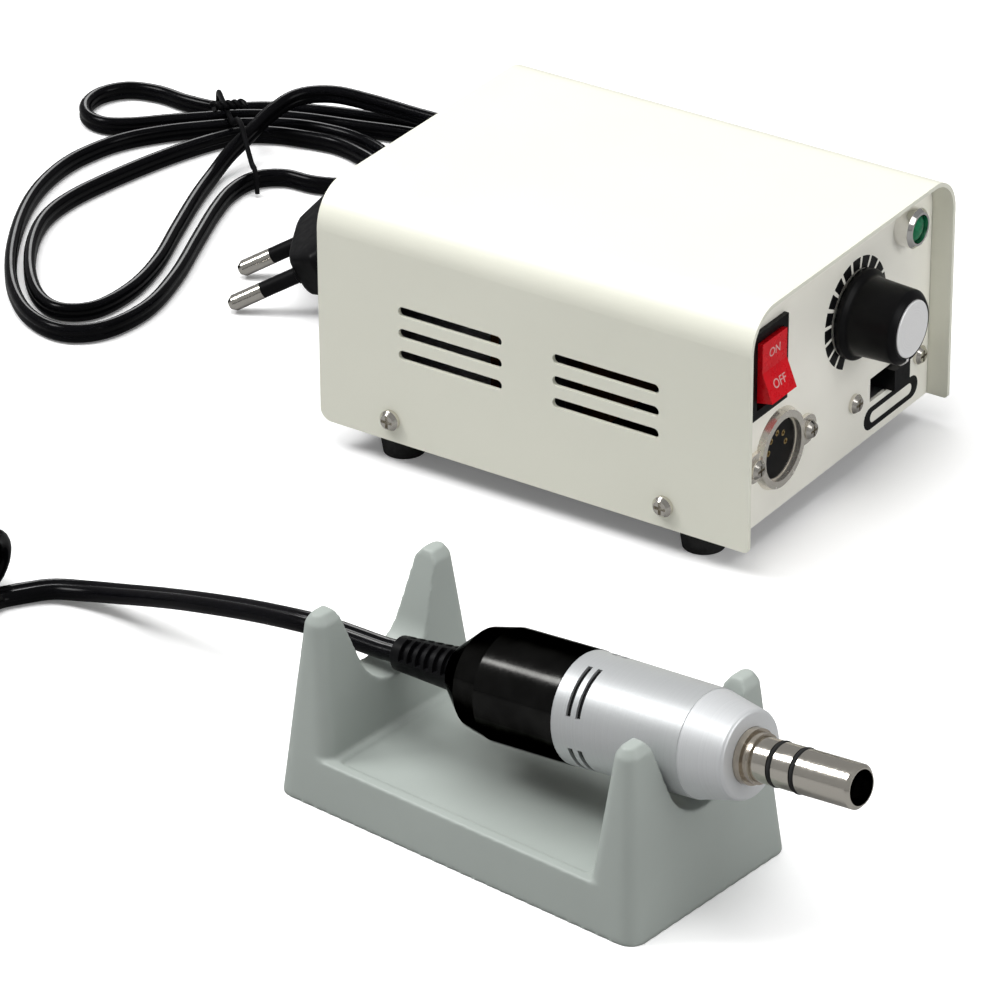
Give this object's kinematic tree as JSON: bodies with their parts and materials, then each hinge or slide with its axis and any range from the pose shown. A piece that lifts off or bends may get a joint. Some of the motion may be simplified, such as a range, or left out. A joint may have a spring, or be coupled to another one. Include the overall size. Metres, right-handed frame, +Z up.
{
  "type": "dental micromotor",
  "caption": "Dental micromotor set: mains control box with rocker, speed knob and lamp, straight motor handpiece on a curly lead, and a desk stand.",
  "frame": {"origin": "on the desk, at the middle of the footprint of box, stand and handpiece, leads left out", "axes": "+Z up, +Y from the front panel to the rear wall of the control box, +X to the right as the user faces the panel"},
  "size_m": [0.289, 0.3956, 0.065],
  "materials": {
    "cover_cream": "satin cream enamel",
    "chassis_zinc": "zinc-plated sheet",
    "panel_grey": "satin printed plate",
    "screw_nickel": "nickel plate",
    "foot_rubber": "matt black",
    "switch_black": "satin black",
    "rocker_red": "gloss red",
    "contact_brass": "plain",
    "socket_chrome": "bright plate",
    "switch_steel": "plain",
    "knob_black": "satin black",
    "knob_cap": "brushed",
    "lens_green": "clear green",
    "core_iron": "varnished laminations",
    "winding_copper": "enamelled copper",
    "board_green": "coated board",
    "sink_aluminium": "plain",
    "fuse_glass": "clear",
    "lead_black": "satin black",
    "plug_black": "satin black",
    "stand_grey": "satin grey",
    "sleeve_black": "gloss black",
    "barrel_silver": "satin anodised",
    "collar_gold": "dark gold plate",
    "holder_tan": "moulded"
  },
  "bodies": {
    "control_unit": {"top_cover": "cover_cream", "chassis": "chassis_zinc", "transformer_strap": "chassis_zinc", "board_standoffs": "chassis_zinc", "front_plate": "panel_grey", "cover_screws": "screw_nickel", "panel_screws": "screw_nickel", "foot_screws": "screw_nickel", "transformer_screws": "screw_nickel", "pot_nut": "screw_nickel", "pilot_nut": "screw_nickel", "rubber_feet": "foot_rubber", "rocker_housing": "switch_black", "socket_insert": "switch_black", "fuse_holder": "switch_black", "semiconductors": "switch_black", "capacitors": "switch_black", "rocker_terminals": "contact_brass", "socket_contacts": "contact_brass", "motor_plug_pins": "contact_brass", "socket_shell": "socket_chrome", "pilot_bezel": "socket_chrome", "plug_pins": "socket_chrome", "pot_body": "switch_steel", "slide_switch": "switch_steel", "pilot_lens": "lens_green", "transformer_core": "core_iron", "transformer_winding": "winding_copper", "circuit_board": "board_green", "heat_sink": "sink_aluminium", "fuse": "fuse_glass", "cord_bush": "lead_black", "mains_lead": "lead_black", "cord_tie": "lead_black", "motor_lead": "lead_black", "mains_plug": "plug_black", "motor_plug": "plug_black", "stand": "stand_grey"},
    "power_rocker": {"power_rocker": "rocker_red"},
    "speed_knob": {"pot_shaft": "switch_steel", "speed_knob": "knob_black", "knob_cap": "knob_cap"},
    "direction_slider": {"direction_slider": "switch_black"},
    "fuse_cap": {"fuse_cap": "switch_black"},
    "handpiece": {"rear_sleeve": "sleeve_black", "front_barrel": "barrel_silver", "nose_cone": "barrel_silver", "nose_collar": "collar_gold", "spigot": "socket_chrome", "o_rings": "lead_black", "motor_can": "switch_steel", "magnets": "core_iron", "brush_holder": "holder_tan", "brushes": "core_iron", "brush_springs": "switch_steel", "bearings": "socket_chrome", "lead_boot": "lead_black"},
    "rotor": {"rotor_shaft": "switch_steel", "armature": "winding_copper", "commutator": "winding_copper"}
  },
  "joints": [
    {"name": "rocker_flip", "type": "hinge", "parent": "control_unit", "child": "power_rocker", "pos_m": [0.0396, -0.0102, 0.0453], "axis": [1, 0, 0], "range_deg": [0, 22]},
    {"name": "knob_turn", "type": "hinge", "parent": "control_unit", "child": "speed_knob", "pos_m": [0.078, -0.0132, 0.0422], "axis": [0, 1, 0], "range_deg": [0, 300]},
    {"name": "slider_slide", "type": "slide", "parent": "control_unit", "child": "direction_slider", "axis": [-1, 0, 0], "range_m": [0, 0.0065]},
    {"name": "fuse_cap_turn", "type": "hinge", "parent": "control_unit", "child": "fuse_cap", "pos_m": [0.0404, 0.0933, 0.04], "axis": [0, 1, 0], "range_deg": [0, 90]},
    {"name": "handpiece_lift", "type": "slide", "parent": "control_unit", "child": "handpiece", "axis": [0, 0, 1], "range_m": [0, 0.1]},
    {"name": "rotor_spin", "type": "hinge", "parent": "handpiece", "child": "rotor", "pos_m": [-0.08697, -0.05972, 0.03383], "axis": [-0.1107, -0.9868, 0.1184], "continuous": true}
  ]
}
